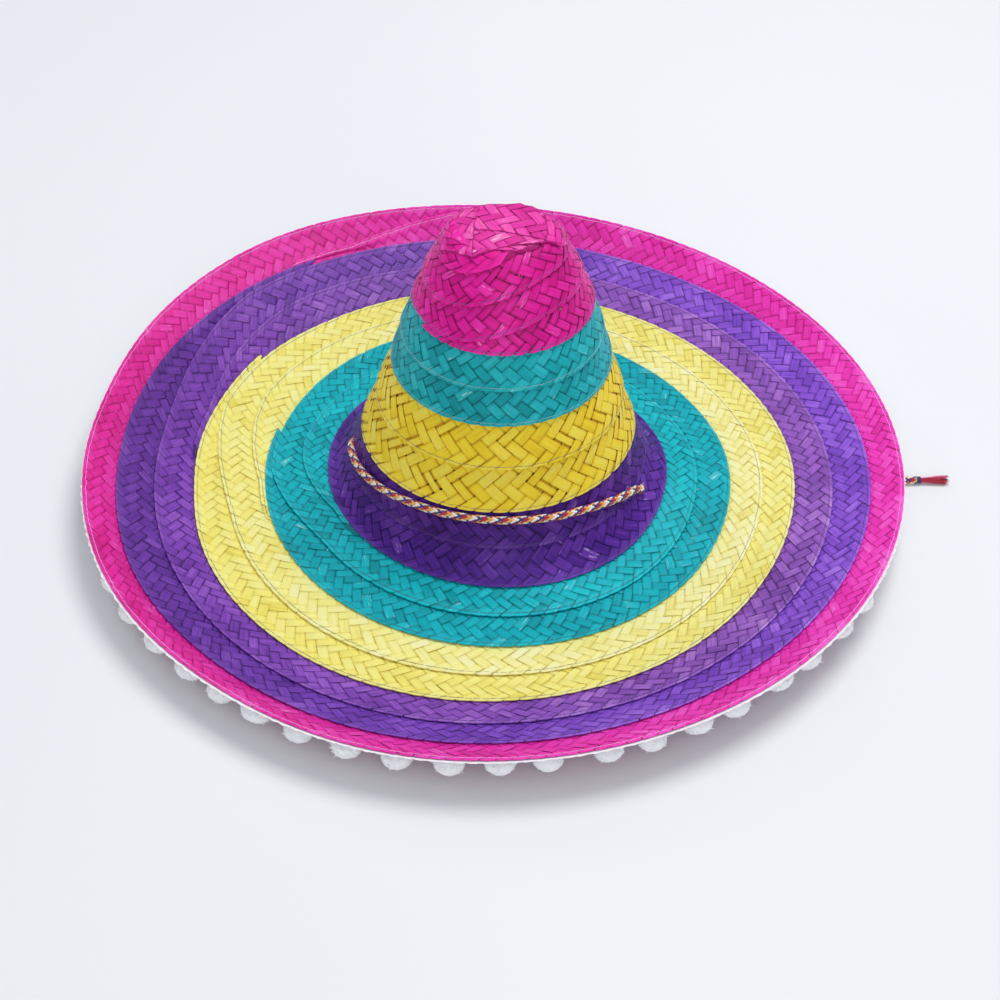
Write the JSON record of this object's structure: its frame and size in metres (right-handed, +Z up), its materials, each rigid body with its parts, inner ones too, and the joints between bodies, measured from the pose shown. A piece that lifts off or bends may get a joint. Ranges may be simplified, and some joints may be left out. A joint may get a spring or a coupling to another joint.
{
  "type": "sombrero",
  "caption": "Wide-brimmed sombrero sewn from spiral turns of dyed palm plait in coloured bands, with a tall crown, a pompom fringe under the rim and a braided chin cord.",
  "frame": {"origin": "on the crown's axis, at the level surface that the brim rests on", "axes": "+Z up along the crown's axis towards its tip; -Y is the front, where the chin cord crosses the crown; +X is the side where the cord's longer tail runs out under the brim"},
  "size_m": [0.5686, 0.534, 0.2007],
  "materials": {
    "magenta_palm": "satin dyed palm plait, two-over-two herringbone",
    "teal_palm": "satin dyed palm plait, two-over-two herringbone",
    "yellow_palm": "satin dyed palm plait, two-over-two herringbone",
    "purple_palm": "satin dyed palm plait, two-over-two herringbone",
    "dark_purple_palm": "satin dyed palm plait, two-over-two herringbone",
    "white_wool": "matte cut pile and woven tape",
    "braided_cord": "matte braid of red, white, tan and navy threads",
    "tassel_thread": "matte loose threads in red, pink, purple and navy"
  },
  "bodies": {
    "root": {"crown_tip": "magenta_palm", "crown_magenta_plait": "magenta_palm", "crown_teal_plait": "teal_palm", "crown_yellow_plait": "yellow_palm", "crown_purple_plait": "dark_purple_palm", "brim_teal_plait": "teal_palm", "brim_yellow_plait": "yellow_palm", "brim_purple_plait": "purple_palm", "brim_magenta_plait": "magenta_palm", "pompom_trim": "white_wool", "chin_cord_front": "braided_cord", "chin_cord_right_tail": "braided_cord", "chin_cord_left_tail": "braided_cord", "right_tassel": "tassel_thread", "left_tassel": "tassel_thread"}
  },
  "joints": []
}
